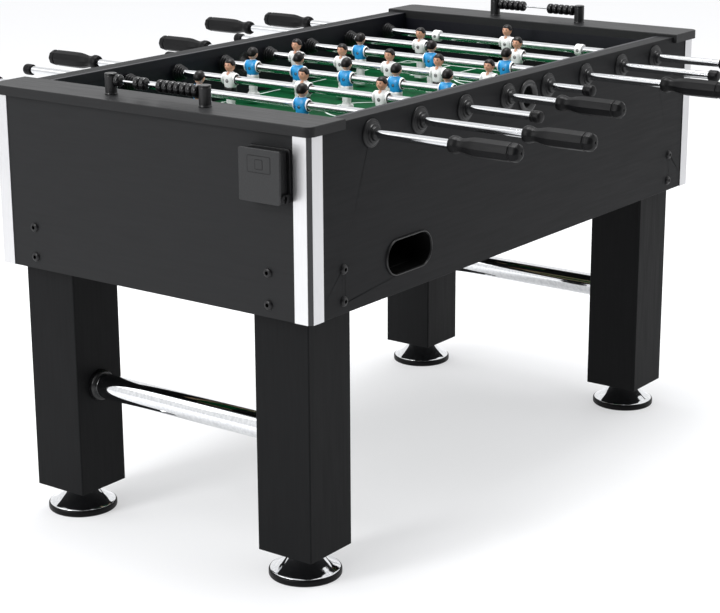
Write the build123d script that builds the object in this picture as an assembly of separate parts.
from build123d import *
import os

# Foosball table with eight rods that run right through the cabinet.
# Millimetres. +Z is up, X runs along the table, Y runs along the rods.
# The origin is on the floor, under the centre of the cabinet.
# The near end is at -X, the front side is at -Y.

# ---------------------------------------------------------------- cabinet
cabinet_length = 1388.0
cabinet_width = 757.0
panel_thickness = 32.0
panel_bottom = 516.0
panel_corner_chamfer = 7.0
rim_height = 858.0
board_bottom = 846.0
board_thickness = 18.0
board_overhang_x = 9.0
board_overhang_y = 8.0
board_corner_radius = 16.0
board_edge_radius = 2.0
lining_thickness = 10.0
goal_wall_face = 602.0
goal_wall_thickness = 12.0
goal_width = 190.0
goal_height = 74.0
goal_corner_radius = 12.0
field_top = 747.0
field_thickness = 12.0
trim_width = 35.0
trim_thickness = 1.5
trim_corner_chamfer = 7.9

# ---------------------------------------------------------------- under the field
batten_width = 30.0
batten_height = 30.0
brace_spacing = 400.0
brace_width = 32.0
brace_height = 65.0
chute_wall = 3.0
chute_wall_height = 40.0
chute_half_width = 100.0
goal_run_start_z = 655.0
goal_run_end_z = 632.0
side_run_start_z = 628.0
side_run_end_z = 557.0

# ---------------------------------------------------------------- legs and feet
leg_size = 123.0
leg_wall = 18.0
leg_bottom = 53.4
leg_top = 640.0
leg_plug = 30.0
leg_edge_radius = 3.0
foot_radius = 68.5
foot_rim = 12.0
foot_gap = 0.3
foot_wall = 6.0
foot_shoulder_radius = 44.5
foot_stem_radius = 6.0
foot_stem_top = 110.0
running_gap = 0.05
bolt_levels = (539.0, 597.0)
bolt_radius = 4.0
bolt_hole_radius = 4.5
bolt_head_radius = 9.0
bolt_head_height = 4.0
bolt_crown_radius = 5.0
bolt_socket_radius = 3.0
bolt_socket_depth = 3.0
washer_radius = 9.8
washer_height = 0.8
nut_radius = 7.5
nut_height = 7.0
stretcher_height = 269.0
stretcher_radius = 25.0
stretcher_wall = 2.0
collar_radius = 31.0
collar_length = 12.0

# ---------------------------------------------------------------- rods
rod_height = 825.0
rod_pitch = 148.0
rod_radius = 8.0
rod_wall = 2.5
bushing_tube_radius = 14.0
bushing_flange_radius = 26.0
bushing_nose = 14.0
bushing_disc = 5.0
bumper_length = 20.0
bumper_gap = 0.3
stop_gap = 0.5
cap_radius = 11.5
cap_length = 22.0
cap_reach = 421.0
grip_reach = 452.0
grip_length = 140.0
grip_radius = 17.5
shaft_into_grip = 110.0
shaft_into_cap = 15.0

# ---------------------------------------------------------------- men
man_half_width = 17.0
man_head_top = 39.0
man_toe = 72.0
stop_collar_spacing = 190.0
stop_collar_radius = 16.0
stop_collar_half = 11.0

# One row per rod from the near end: side of the grip, places of the men, slide at rest.
five_men = (-246.8, -123.4, 0.0, 123.4, 246.8)
three_men = (-189.5, 0.0, 189.5)
two_men = (-127.5, 127.5)
goal_man = (0.0,)
front_grip = -1
back_grip = 1
rods = [
    (front_grip, goal_man, 16.0),
    (front_grip, two_men, 17.0),
    (back_grip, three_men, 1.0),
    (front_grip, five_men, 7.0),
    (back_grip, five_men, 5.0),
    (front_grip, three_men, 1.0),
    (back_grip, two_men, 4.0),
    (back_grip, goal_man, -4.0),
]

# ---------------------------------------------------------------- ball ports
entry_height = 814.5
entry_bore_radius = 19.0
entry_tube_radius = 25.0
entry_flange_radius = 33.0
entry_flange = 5.0
return_x = 402.0
return_height = 585.0
return_width = 137.0
return_depth = 62.0
return_wall = 3.0
return_bezel_margin = 5.0
return_bezel = 4.0

# ---------------------------------------------------------------- scorers
scorer_x = 650.0
post_y = 113.0
post_radius = 12.0
post_height = 39.0
wire_radius = 2.0
wire_lift = 26.0
wire_in_post = 6.0
bead_radius = 11.5
bead_pitch = 14.0
bead_half = 6.9
bead_gap = 0.3
middle_bead_y = 45.5

# ---------------------------------------------------------------- drink holders
holder_y = 295.0
holder_height = 775.0
holder_width = 90.0
holder_tall = 93.0
holder_plate = 4.0
holder_cover_outer = 33.0
holder_cover = 4.5
holder_hinge_x = 20.0
holder_hinge_z = 38.0
holder_lug_radius = 8.0
holder_lug = 5.0
holder_barrel_radius = 6.0
holder_pin_radius = 2.5
holder_ring_outer = 14.0
holder_ring_inner = 6.0
holder_cup_radius = 33.0
holder_side_wall = 3.0

# ---------------------------------------------------------------- worked out
half_length = cabinet_length / 2
half_width = cabinet_width / 2
inner_x = half_length - panel_thickness
inner_y = half_width - panel_thickness
play_y = inner_y - lining_thickness
board_top = board_bottom + board_thickness
wall_depth = panel_thickness + lining_thickness
leg_x = inner_x - leg_size / 2
leg_y = inner_y - leg_size / 2
wire_z = board_top + wire_lift
bore_radius = rod_radius + running_gap
rod_places = [rod_pitch * (index - 3.5) for index in range(len(rods))]
corners = [(-1, -1), (1, -1), (-1, 1), (1, 1)]


# ---------------------------------------------------------------- helpers
def block(x0, x1, y0, y1, z0, z1):
    """A box between two opposite corners."""
    centre = Pos((x0 + x1) / 2, (y0 + y1) / 2, (z0 + z1) / 2)
    return centre * Box(abs(x1 - x0), abs(y1 - y0), abs(z1 - z0))


def bar_y(radius, x, z, y0, y1):
    """A round bar along Y."""
    return Pos(x, (y0 + y1) / 2, z) * Rot(90, 0, 0) * Cylinder(radius, abs(y1 - y0))


def bar_x(radius, y, z, x0, x1):
    """A round bar along X."""
    return Pos((x0 + x1) / 2, y, z) * Rot(0, 90, 0) * Cylinder(radius, abs(x1 - x0))


def turned_y(points):
    """A solid turned about the Y axis from (radius, y) points."""
    return revolve(make_face(Polyline(*points, close=True)), Axis.Y)


def turned_z(points):
    """A solid turned about the Z axis from (radius, z) points."""
    outline = Polyline(*[(radius, 0, z) for radius, z in points], close=True)
    return revolve(make_face(outline), Axis.Z)


def slab_along_y(points, y0, y1):
    """An (x, z) outline carried along Y."""
    outline = Polyline(*[(x, y0, z) for x, z in points], close=True)
    return extrude(make_face(outline), amount=y1 - y0, dir=(0, 1, 0))


def slab_along_x(points, x0, x1):
    """A (y, z) outline carried along X."""
    outline = Polyline(*[(x0, y, z) for y, z in points], close=True)
    return extrude(make_face(outline), amount=x1 - x0, dir=(1, 0, 0))


def stadium_y(width, height, y0, y1):
    """A round-ended bar along Y, at the return opening."""
    section = Plane.XZ * SlotOverall(width, height)
    return Pos(-return_x, y1, return_height) * extrude(section, amount=y1 - y0)


def turned_round(piece):
    """The same piece at the opposite end of the table."""
    return Rot(0, 0, 180) * piece


def both_ends(piece):
    return [piece, turned_round(piece)]


def save(node, *pieces):
    """Write one node; a group stays a group of separate solids."""
    solids = [solid for piece in pieces for solid in piece.solids()]
    shape = solids[0] if len(solids) == 1 else Compound(solids)
    export_step(shape, os.path.join("parts", node + ".step"))


# ---------------------------------------------------------------- cabinet parts
def side_panel():
    """The long front panel; its ends are stepped down under the end boards."""
    panel = block(-half_length, half_length, -half_width, -inner_y, panel_bottom, rim_height)
    upright = panel.edges().filter_by(Axis.Z).group_by(Axis.Y)[0]
    panel = chamfer(upright, panel_corner_chamfer)
    for end in (-1, 1):
        panel -= block(end * goal_wall_face, end * (half_length + 1), -half_width - 1, -inner_y + 1,
                       board_bottom, rim_height + 1)
    for x in rod_places:
        panel -= bar_y(bushing_tube_radius, x, rod_height, -half_width - 1, -inner_y + 1)
    panel -= bar_y(entry_tube_radius, 0, entry_height, -half_width - 1, -inner_y + 1)
    port_width = return_width + 2 * return_wall
    port_depth = return_depth + 2 * return_wall
    panel -= stadium_y(port_width, port_depth, -half_width - 1, -inner_y + 1)
    for level in bolt_levels:
        for end in (-1, 1):
            panel -= bar_y(bolt_hole_radius, end * leg_x, level, -half_width - 1, -inner_y + 1)
    return panel


def end_panel():
    """The near end panel, between the side panels."""
    panel = block(-half_length, -inner_x, -inner_y, inner_y, panel_bottom, board_bottom)
    for level in bolt_levels:
        for side in (-1, 1):
            panel -= bar_x(bolt_hole_radius, side * leg_y, level, -half_length - 1, -inner_x + 1)
    return panel


def end_board():
    """The flat top board over the near goal."""
    reach_x = half_length + board_overhang_x
    reach_y = half_width + board_overhang_y
    board = block(-reach_x, -goal_wall_face, -reach_y, reach_y, board_bottom, board_top)
    upright = board.edges().filter_by(Axis.Z).group_by(Axis.X)[0]
    board = fillet(upright, board_corner_radius)
    return fillet(board.faces().sort_by(Axis.Z)[-1].edges(), board_edge_radius)


def corner_trim():
    """The metal angle over the upright edge at the near front corner."""
    outer = block(-half_length - trim_thickness, -half_length + trim_width,
                  -half_width - trim_thickness, -half_width + trim_width, panel_bottom, board_bottom)
    inner = block(-half_length, half_length, -half_width, half_width, panel_bottom, board_bottom)
    outer_edge = outer.edges().filter_by(Axis.Z).group_by(Axis.X)[0].sort_by(Axis.Y)[0]
    inner_edge = inner.edges().filter_by(Axis.Z).group_by(Axis.X)[0].sort_by(Axis.Y)[0]
    outer = chamfer(outer_edge, trim_corner_chamfer)
    return outer - chamfer(inner_edge, panel_corner_chamfer)


def corner_trims():
    near_front = corner_trim()
    near_back = mirror(near_front, about=Plane.XZ)
    return both_ends(near_front) + both_ends(near_back)


def side_lining():
    """The smooth inner wall beside the field, on the front side."""
    field_bottom = field_top - field_thickness
    lining = block(-goal_wall_face, goal_wall_face, -inner_y, -play_y, field_bottom, rim_height)
    for x in rod_places:
        lining -= bar_y(bushing_tube_radius, x, rod_height, -inner_y - 1, -play_y + 1)
    return lining - bar_y(entry_tube_radius, 0, entry_height, -inner_y - 1, -play_y + 1)


def goal_wall():
    """The inner wall at the near end, with the goal mouth at field level."""
    back = goal_wall_face + goal_wall_thickness
    wall = block(-back, -goal_wall_face, -inner_y, inner_y, field_top - field_thickness, board_bottom)
    mouth = block(-back - 1, -goal_wall_face + 1, -goal_width / 2, goal_width / 2,
                  field_top, field_top + goal_height)
    top_edges = mouth.edges().filter_by(Axis.X).group_by(Axis.Z)[-1]
    return wall - fillet(top_edges, goal_corner_radius)


def playfield():
    return block(-goal_wall_face, goal_wall_face, -play_y, play_y, field_top - field_thickness, field_top)


def field_supports():
    """Battens round the field's edge and two braces between the side panels."""
    top = field_top - field_thickness
    bottom = top - batten_height
    inside = inner_y - batten_width
    side = block(-goal_wall_face, goal_wall_face, -inner_y, -inside, bottom, top)
    outer_end = goal_wall_face + goal_wall_thickness
    end = block(-outer_end, -outer_end + batten_width, -inside, inside, bottom, top)
    brace_x = brace_spacing / 2
    brace = block(-brace_x - brace_width / 2, -brace_x + brace_width / 2, -inner_y, inner_y,
                  bottom - brace_height, bottom)
    return both_ends(side) + both_ends(end) + both_ends(brace)


def goal_run():
    """The first half of a ball chute, from behind the goal towards the middle: floor and two walls."""
    x0 = -inner_x + 1
    x1 = -return_x - return_width / 2 - chute_wall
    wide = chute_half_width
    drop = [(x0, goal_run_start_z), (x1, goal_run_end_z)]
    floor = [*drop, (x1, goal_run_end_z - chute_wall), (x0, goal_run_start_z - chute_wall)]
    wall = [*drop, (x1, goal_run_end_z + chute_wall_height), (x0, goal_run_start_z + chute_wall_height)]
    return [slab_along_y(floor, -wide, wide),
            slab_along_y(wall, -wide, -wide + chute_wall),
            slab_along_y(wall, wide - chute_wall, wide)]


def side_run():
    """The second half, across the table down to the return opening: floor, two walls and an end."""
    x0 = -return_x - return_width / 2 - chute_wall
    x1 = -return_x + return_width / 2 + chute_wall
    y0 = -inner_y
    y1 = chute_half_width
    slope = (side_run_start_z - side_run_end_z) / (y1 - y0)

    def board(start, end, rise):
        """An outline between two places along Y, standing on the floor's top or hanging under it."""
        z0 = side_run_end_z + slope * (start - y0)
        z1 = side_run_end_z + slope * (end - y0)
        return [(start, z0), (end, z1), (end, z1 + rise), (start, z0 + rise)]

    return [slab_along_x(board(y0, y1, -chute_wall), x0, x1),
            slab_along_x(board(y0, y1, chute_wall_height), x1 - chute_wall, x1),
            slab_along_x(board(y0, -chute_half_width, chute_wall_height), x0, x0 + chute_wall),
            slab_along_x(board(y1 - chute_wall, y1, chute_wall_height), x0, x1 - chute_wall)]


# ---------------------------------------------------------------- legs and feet
def leg():
    """The hollow box leg at the near front corner, with a plug for the foot's stem."""
    half = leg_size / 2
    post = block(-leg_x - half, -leg_x + half, -leg_y - half, -leg_y + half, leg_bottom, leg_top)
    post = fillet(post.edges().filter_by(Axis.Z), leg_edge_radius)
    hollow = half - leg_wall
    post -= block(-leg_x - hollow, -leg_x + hollow, -leg_y - hollow, -leg_y + hollow,
                  leg_bottom + leg_plug, leg_top + 1)
    post -= Pos(-leg_x, -leg_y, leg_bottom) * Cylinder(foot_stem_radius + running_gap, 4 * leg_plug)
    for level in bolt_levels:
        post -= bar_y(bolt_hole_radius, -leg_x, level, -inner_y - 1, -leg_y)
        post -= bar_x(bolt_hole_radius, -leg_y, level, -inner_x - 1, -leg_x)
    return post


def legs():
    near_front = leg()
    near_back = mirror(near_front, about=Plane.XZ)
    return both_ends(near_front) + both_ends(near_back)


def foot():
    """A hollow levelling foot: cone, floor rim and threaded stem."""
    top = leg_bottom - foot_gap
    shoulder = foot_shoulder_radius
    return turned_z([
        (0, foot_stem_top), (foot_stem_radius, foot_stem_top), (foot_stem_radius, top), (shoulder, top),
        (foot_radius - 2.5, foot_rim + 2), (foot_radius, foot_rim), (foot_radius, 0),
        (foot_radius - 10, 0), (foot_radius - 10, foot_rim - 2), (shoulder - 4, top - foot_wall),
        (0, top - foot_wall)])


def leg_bolt():
    """A washer-faced bolt along -Y, its head's seat at the origin, and its nut."""
    under_nut = panel_thickness + leg_wall
    shank = under_nut + nut_height + 2
    head_top = washer_height + bolt_head_height
    bolt = turned_y([
        (0, -head_top), (bolt_crown_radius, -head_top), (bolt_head_radius, -washer_height - 1),
        (bolt_head_radius, -washer_height), (washer_radius, -washer_height), (washer_radius, 0),
        (bolt_radius, 0), (bolt_radius, shank), (0, shank)])
    socket = Plane.XZ * RegularPolygon(bolt_socket_radius, 6)
    bolt -= Pos(0, bolt_socket_depth - head_top, 0) * extrude(socket, amount=bolt_socket_depth + 1)
    nut_section = Plane.XZ * (RegularPolygon(nut_radius, 6) - Circle(bolt_radius))
    nut = Pos(0, under_nut + nut_height, 0) * extrude(nut_section, amount=nut_height)
    return [bolt, nut]


def leg_bolts():
    """Two bolts through each panel into each leg."""
    pieces = []
    for piece in leg_bolt():
        for level in bolt_levels:
            for side in (-1, 1):
                through_side = Pos(side * leg_x, -half_width, level) * piece
                through_end = Pos(-half_length, side * leg_y, level) * Rot(0, 0, -90) * piece
                pieces += both_ends(through_side) + both_ends(through_end)
    return pieces


def stretcher():
    """The tube between the two near legs, and its two collars."""
    reach = leg_y - leg_size / 2
    tube = bar_y(stretcher_radius, -leg_x, stretcher_height, -reach, reach)
    tube -= bar_y(stretcher_radius - stretcher_wall, -leg_x, stretcher_height, -reach - 1, reach + 1)
    pieces = [tube]
    for side in (-1, 1):
        collar = bar_y(collar_radius, -leg_x, stretcher_height, side * reach, side * (reach - collar_length))
        collar -= bar_y(stretcher_radius, -leg_x, stretcher_height, -reach - 1, reach + 1)
        pieces.append(collar)
    return pieces


# ---------------------------------------------------------------- rods
def bushing():
    """Outer and inner half of a rod bushing; y = 0 is the panel's outer face, outside is -Y."""
    outer = turned_y([
        (bore_radius, -bushing_nose), (12, -bushing_nose), (13, -9), (17, -9), (20, -5),
        (bushing_flange_radius, -4), (bushing_flange_radius, 0), (bushing_tube_radius, 0),
        (bushing_tube_radius, wall_depth), (bore_radius, wall_depth)])
    inner = turned_y([
        (bore_radius, wall_depth), (bushing_flange_radius, wall_depth),
        (bushing_flange_radius, wall_depth + 3), (bushing_flange_radius - 3, wall_depth + bushing_disc),
        (bore_radius, wall_depth + bushing_disc)])
    return [outer, inner]


def rod_bushings():
    pieces = []
    for x in rod_places:
        for half in bushing():
            pieces += both_ends(Pos(x, -half_width, rod_height) * half)
    return pieces


def bumper():
    """A ribbed rubber cone on the front wall; y = 0 is its wall end, it tapers towards +Y."""
    ribs = 4
    rib_pitch = bumper_length / ribs
    points = [(bore_radius, 0)]
    for index in range(ribs):
        y = index * rib_pitch
        rib_radius = 18.5 - 1.8 * index
        points += [(rib_radius, y), (rib_radius, y + 0.6 * rib_pitch),
                   (rib_radius - 3, y + 0.6 * rib_pitch), (rib_radius - 3, y + rib_pitch)]
    return turned_y([*points, (bore_radius, bumper_length)])


def rod_bumpers(x):
    """The front and the back bumper of one rod."""
    wall_end = play_y - bushing_disc - bumper_gap
    front = Pos(0, -wall_end, 0) * bumper()
    return [Pos(x, 0, rod_height) * piece for piece in both_ends(front)]


def man(facing):
    """One player, drilled for the rod, with the rod's axis at the origin."""
    body = Rot(90, 0, 0) * Cylinder(11.5, 2 * man_half_width)
    body += block(-10, 10, -13, 13, -24, 14)
    body += Pos(0, 0, 16) * Cylinder(6, 10)
    body += Pos(0, 0, man_head_top - 11.5) * Sphere(11.5)
    body += block(-7, 7, -9.5, 9.5, -58, -22)
    toe = facing * 12
    body += block(-facing * 9, toe, -11, 11, -man_toe, -54)
    return body - Rot(90, 0, 0) * Cylinder(rod_radius, 4 * man_half_width)


def stop_collar():
    """A clamped collar that limits a goalkeeper's rod."""
    collar = Rot(90, 0, 0) * Cylinder(stop_collar_radius, 2 * stop_collar_half)
    return collar - Rot(90, 0, 0) * Cylinder(rod_radius, 4 * stop_collar_half)


def rod_men(x, grip_side, men, slide):
    """The men of one rod; the front team faces +X, the back team faces -X."""
    facing = -grip_side
    player = man(facing)
    pieces = [Pos(x, slide + y, rod_height) * player for y in men]
    if len(men) == 1:
        collar = stop_collar()
        for side in (-1, 1):
            pieces.append(Pos(x, slide + side * stop_collar_spacing, rod_height) * collar)
    return pieces


def rod_travel(men):
    """How far a rod slides each way from its middle before it meets a bumper."""
    outermost = men[-1] + man_half_width
    if len(men) == 1:
        outermost = stop_collar_spacing + stop_collar_half
    return play_y - bushing_disc - bumper_gap - bumper_length - stop_gap - outermost


def grip():
    """An eight-sided handle along +Y; y = 0 is the end towards the table."""
    flare = turned_y([(0, 0), (13, 0), (15.5, 5), (15.5, 12), (12, 20), (12, 30), (0, 30)])
    section = Plane.XZ * RegularPolygon(grip_radius, 8)
    body = Pos(0, grip_length, 0) * extrude(section, amount=grip_length - 28)
    body = chamfer(body.faces().sort_by(Axis.Y)[0].edges(), 4)
    body = chamfer(body.faces().sort_by(Axis.Y)[-1].edges(), 5)
    hole = Pos(0, shaft_into_grip / 2, 0) * Rot(90, 0, 0) * Cylinder(rod_radius, shaft_into_grip)
    return flare + body - hole


def end_cap():
    """The rubber cap on a rod's plain end, along +Y; y = 0 is the end towards the table."""
    cap = turned_y([(0, 0), (cap_radius - 1, 0), (cap_radius, 2), (cap_radius, cap_length - 3),
                    (cap_radius - 3, cap_length), (0, cap_length)])
    hole = Pos(0, shaft_into_cap / 2, 0) * Rot(90, 0, 0) * Cylinder(rod_radius, shaft_into_cap)
    return cap - hole


def towards(side, piece):
    """Turn a piece made along +Y to the given side of the table."""
    return piece if side > 0 else turned_round(piece)


def rod_ends(x, grip_side, men, slide):
    travel = rod_travel(men)
    handle = Pos(0, grip_reach + travel, 0) * grip()
    cap = Pos(0, cap_reach + travel, 0) * end_cap()
    at_rod = Pos(x, slide, rod_height)
    return [at_rod * towards(grip_side, handle), at_rod * towards(-grip_side, cap)]


def rod_shaft(x, grip_side, men, slide):
    """The steel tube, from inside its cap to inside its grip."""
    travel = rod_travel(men)
    at_grip = slide + grip_side * (grip_reach + travel + shaft_into_grip)
    at_cap = slide - grip_side * (cap_reach + travel + shaft_into_cap)
    y0 = min(at_grip, at_cap)
    y1 = max(at_grip, at_cap)
    return bar_y(rod_radius, x, rod_height, y0, y1) - bar_y(rod_radius - rod_wall, x, rod_height, y0 - 1, y1 + 1)


# ---------------------------------------------------------------- ball ports
def entry_cup():
    """The round ball entry in the front wall, with a funnelled lip."""
    cup = turned_y([
        (entry_bore_radius, 0), (entry_bore_radius + 4, -entry_flange),
        (entry_flange_radius - 2, -entry_flange), (entry_flange_radius, -entry_flange + 2),
        (entry_flange_radius, 0), (entry_tube_radius, 0), (entry_tube_radius, wall_depth),
        (entry_bore_radius, wall_depth)])
    return Pos(0, -half_width, entry_height) * cup


def return_port():
    """The round-ended bezel and sleeve where the balls come back."""
    bezel_width = return_width + 2 * (return_wall + return_bezel_margin) + 6
    bezel_depth = return_depth + 2 * return_bezel_margin
    sleeve_width = return_width + 2 * return_wall
    sleeve_depth = return_depth + 2 * return_wall
    port = stadium_y(bezel_width, bezel_depth, -half_width - return_bezel, -half_width)
    port += stadium_y(sleeve_width, sleeve_depth, -half_width - 1, -inner_y)
    return port - stadium_y(return_width, return_depth, -half_width - return_bezel - 1, -inner_y + 1)


# ---------------------------------------------------------------- scorers
def scorer_frame():
    """Two posts on the near end board and the wire between them."""
    inside_post = post_y - post_radius + wire_in_post
    wire = bar_y(wire_radius, -scorer_x, wire_z, -inside_post, inside_post)
    pieces = [wire]
    for side in (-1, 1):
        post = turned_z([(0, 0), (post_radius, 0), (post_radius - 0.7, post_height - 1.5),
                         (post_radius - 2.2, post_height), (0, post_height)])
        pieces.append(Pos(-scorer_x, side * post_y, board_top) * post - wire)
    return pieces


def beads(x, first_y, step, count):
    """A run of counting beads on the wire."""
    bead = turned_y([(wire_radius + running_gap, -bead_half), (8, -bead_half), (bead_radius, -3),
                     (bead_radius, 3), (8, bead_half), (wire_radius + running_gap, bead_half)])
    return [Pos(x, first_y + step * index, wire_z) * bead for index in range(count)]


# ---------------------------------------------------------------- drink holders
def holder_base():
    """Back plate and hinge lugs; x = 0 is the end panel's face, outside is -X."""
    half = holder_width / 2
    tall = holder_tall / 2
    base = block(-holder_plate, 0, -half, half, -tall, tall)
    for side in (-1, 1):
        outer = side * half
        inner = side * (half - holder_lug)
        lug = block(-holder_hinge_x, -holder_plate, inner, outer,
                    -holder_hinge_z - holder_lug_radius, -holder_hinge_z + holder_lug_radius)
        lug += bar_y(holder_lug_radius, -holder_hinge_x, -holder_hinge_z, inner, outer)
        base += lug
    pin_hole = bar_y(holder_pin_radius + running_gap, -holder_hinge_x, -holder_hinge_z, -half - 1, half + 1)
    return base - pin_hole


def holder_arm():
    """Cover, side walls, cup ring and hinge barrel in one moulding, folded up, and its pin."""
    half = holder_width / 2
    tall = holder_tall / 2
    cover_inner = holder_cover_outer - holder_cover
    cover = block(-holder_cover_outer, -cover_inner, -half, half, -tall, tall)
    cover = fillet(cover.edges().filter_by(Axis.X), 6)
    cover = fillet(cover.faces().sort_by(Axis.X)[0].edges(), 1.5)
    reach = half - holder_lug - 0.5
    bottom = -holder_hinge_z + holder_lug_radius - 3
    top = tall - 2.5
    shell = block(-cover_inner, -holder_ring_inner, -reach, reach, bottom, top)
    shell -= block(-cover_inner, -holder_ring_outer, -reach + holder_side_wall, reach - holder_side_wall,
                   bottom + holder_side_wall, top - holder_side_wall)
    shell -= bar_x(holder_cup_radius, 0, (bottom + top) / 2, -holder_ring_outer - 1, -holder_ring_inner + 1)
    barrel = bar_y(holder_barrel_radius, -holder_hinge_x, -holder_hinge_z, -reach, reach)
    web = block(-cover_inner, -holder_hinge_x, -reach, reach, -holder_hinge_z - 3, bottom + 1)
    arm = cover + shell + barrel + web
    pin = bar_y(holder_pin_radius, -holder_hinge_x, -holder_hinge_z, -half, half)
    return [arm - pin, pin]


# ---------------------------------------------------------------- write the nodes
def write_cabinet():
    front = side_panel()
    save("front_panel", front)
    save("back_panel", turned_round(front))
    save("end_panels", *both_ends(end_panel()))
    save("end_boards", *both_ends(end_board()))
    save("corner_trims", *corner_trims())
    save("side_linings", *both_ends(side_lining()))
    save("goal_walls", *both_ends(goal_wall()))
    save("playfield", playfield())
    save("field_supports", *field_supports())
    chute = goal_run() + side_run()
    save("ball_chutes", *chute, *[turned_round(board) for board in chute])
    save("ball_ports", *both_ends(entry_cup()), *both_ends(return_port()))


def write_legs():
    save("legs", *legs())
    save("leg_bolts", *leg_bolts())
    near = stretcher()
    save("stretcher_bars", *near, *[turned_round(piece) for piece in near])
    names = ["near_front", "far_front", "near_back", "far_back"]
    for name, (end, side) in zip(names, corners):
        save("foot_" + name, Pos(end * leg_x, side * leg_y, 0) * foot())


def write_rods():
    save("rod_bushings", *rod_bushings())
    for number, (x, row) in enumerate(zip(rod_places, rods), start=1):
        prefix = "rod_" + str(number)
        save(prefix + "_shaft", rod_shaft(x, *row))
        save(prefix + "_men", *rod_men(x, *row))
        save(prefix + "_ends", *rod_ends(x, *row))
        save(prefix + "_bumpers", *rod_bumpers(x))
        print(prefix, "travel", rod_travel(row[1]), "slide at rest", row[2])


def write_scorers():
    near = scorer_frame()
    save("scorer_frames", *near, *[turned_round(piece) for piece in near])
    at_post = post_y - post_radius - bead_gap - bead_half
    save("near_beads_back", *beads(-scorer_x, at_post, -bead_pitch, 1))
    save("near_beads_middle", *beads(-scorer_x, middle_bead_y, -bead_pitch, 2))
    save("near_beads_front", *beads(-scorer_x, -at_post, bead_pitch, 7))
    save("far_beads_back", *beads(scorer_x, at_post, -bead_pitch, 5))
    save("far_beads_front", *beads(scorer_x, -at_post, bead_pitch, 5))


def write_drink_holders():
    place = Pos(-half_length, -holder_y, holder_height)
    save("drink_holder_bases", *both_ends(place * holder_base()))
    arm = [place * piece for piece in holder_arm()]
    save("near_drink_arm", *arm)
    save("far_drink_arm", *[turned_round(piece) for piece in arm])


os.makedirs("parts", exist_ok=True)
write_cabinet()
write_legs()
write_rods()
write_scorers()
write_drink_holders()
